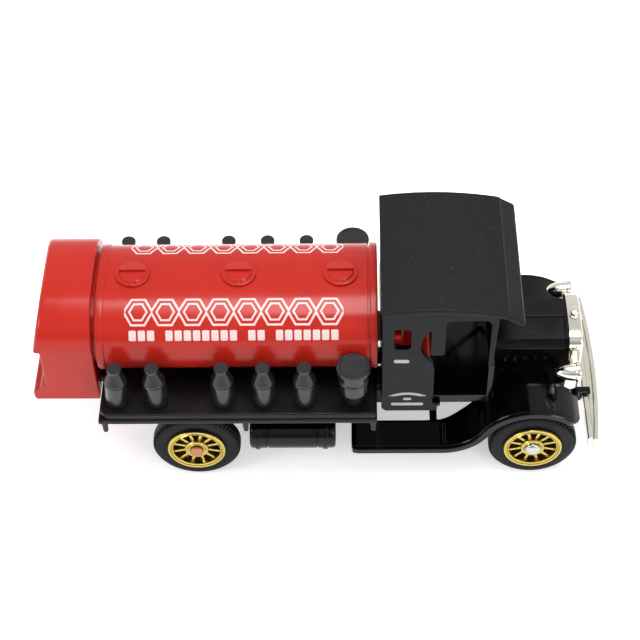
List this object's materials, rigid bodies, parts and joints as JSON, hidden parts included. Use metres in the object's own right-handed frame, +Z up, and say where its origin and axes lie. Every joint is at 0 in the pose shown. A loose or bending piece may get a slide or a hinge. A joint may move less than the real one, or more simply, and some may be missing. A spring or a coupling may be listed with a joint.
{
  "type": "toy tanker truck",
  "caption": "Vintage style toy delivery truck with an oval tank, rear cabinet, side rows of oil cans, open cab, chrome front and free-rolling spoked wheels.",
  "frame": {"origin": "on the floor under the middle of the truck, halfway along its length and width", "axes": "+X towards the front bumper, +Y towards the left side, +Z up"},
  "size_m": [0.114, 0.042, 0.0481],
  "materials": {
    "black_casting": "gloss black enamel on a die-cast zinc body",
    "black_base": "plain moulded black base",
    "steel": "bright drawn wire and rivets",
    "chrome_plating": "bright vacuum plating on a moulding",
    "cab_black": "satin moulded black",
    "roof_black": "satin moulded black with a fine grain",
    "seat_red": "gloss moulded red",
    "deck_black": "satin moulded black",
    "tank_red": "gloss moulded red",
    "can_black": "satin moulded black",
    "gold_plating": "bright gold plating on a moulding",
    "tyre_rubber": "soft black rubber with a notched shoulder"
  },
  "bodies": {
    "truck": {"chassis_casting": "black_casting", "base_plate": "black_base", "base_rivets": "steel", "hood_cowl": "black_casting", "radiator_and_lamps": "chrome_plating", "bumper": "chrome_plating", "cab_shell": "cab_black", "cab_roof": "roof_black", "seat": "seat_red", "steering_wheel": "cab_black", "deck": "deck_black", "tank_shell": "tank_red", "rear_cabinet": "tank_red", "fuel_tank_right": "deck_black", "fuel_tank_left": "deck_black", "can_right_1": "can_black", "can_right_2": "can_black", "can_right_3": "can_black", "can_right_4": "can_black", "can_right_5": "can_black", "can_left_1": "can_black", "can_left_2": "can_black", "can_left_3": "can_black", "can_left_4": "can_black", "can_left_5": "can_black", "drum_right": "can_black", "drum_left": "can_black", "axle_front": "steel", "axle_rear": "steel"},
    "wheel_front_right": {"hub_front_right": "gold_plating", "tyre_front_right": "tyre_rubber"},
    "wheel_front_left": {"hub_front_left": "gold_plating", "tyre_front_left": "tyre_rubber"},
    "wheel_rear_right": {"hub_rear_right": "gold_plating", "tyre_rear_right": "tyre_rubber"},
    "wheel_rear_left": {"hub_rear_left": "gold_plating", "tyre_rear_left": "tyre_rubber"}
  },
  "joints": [
    {"name": "wheel_front_right_spin", "type": "hinge", "parent": "truck", "child": "wheel_front_right", "pos_m": [0.043, -0.016, 0.0089], "axis": [0, 1, 0], "continuous": true},
    {"name": "wheel_front_left_spin", "type": "hinge", "parent": "truck", "child": "wheel_front_left", "pos_m": [0.043, 0.016, 0.0089], "axis": [0, 1, 0], "continuous": true},
    {"name": "wheel_rear_right_spin", "type": "hinge", "parent": "truck", "child": "wheel_rear_right", "pos_m": [-0.025, -0.016, 0.0089], "axis": [0, 1, 0], "continuous": true},
    {"name": "wheel_rear_left_spin", "type": "hinge", "parent": "truck", "child": "wheel_rear_left", "pos_m": [-0.025, 0.016, 0.0089], "axis": [0, 1, 0], "continuous": true}
  ]
}
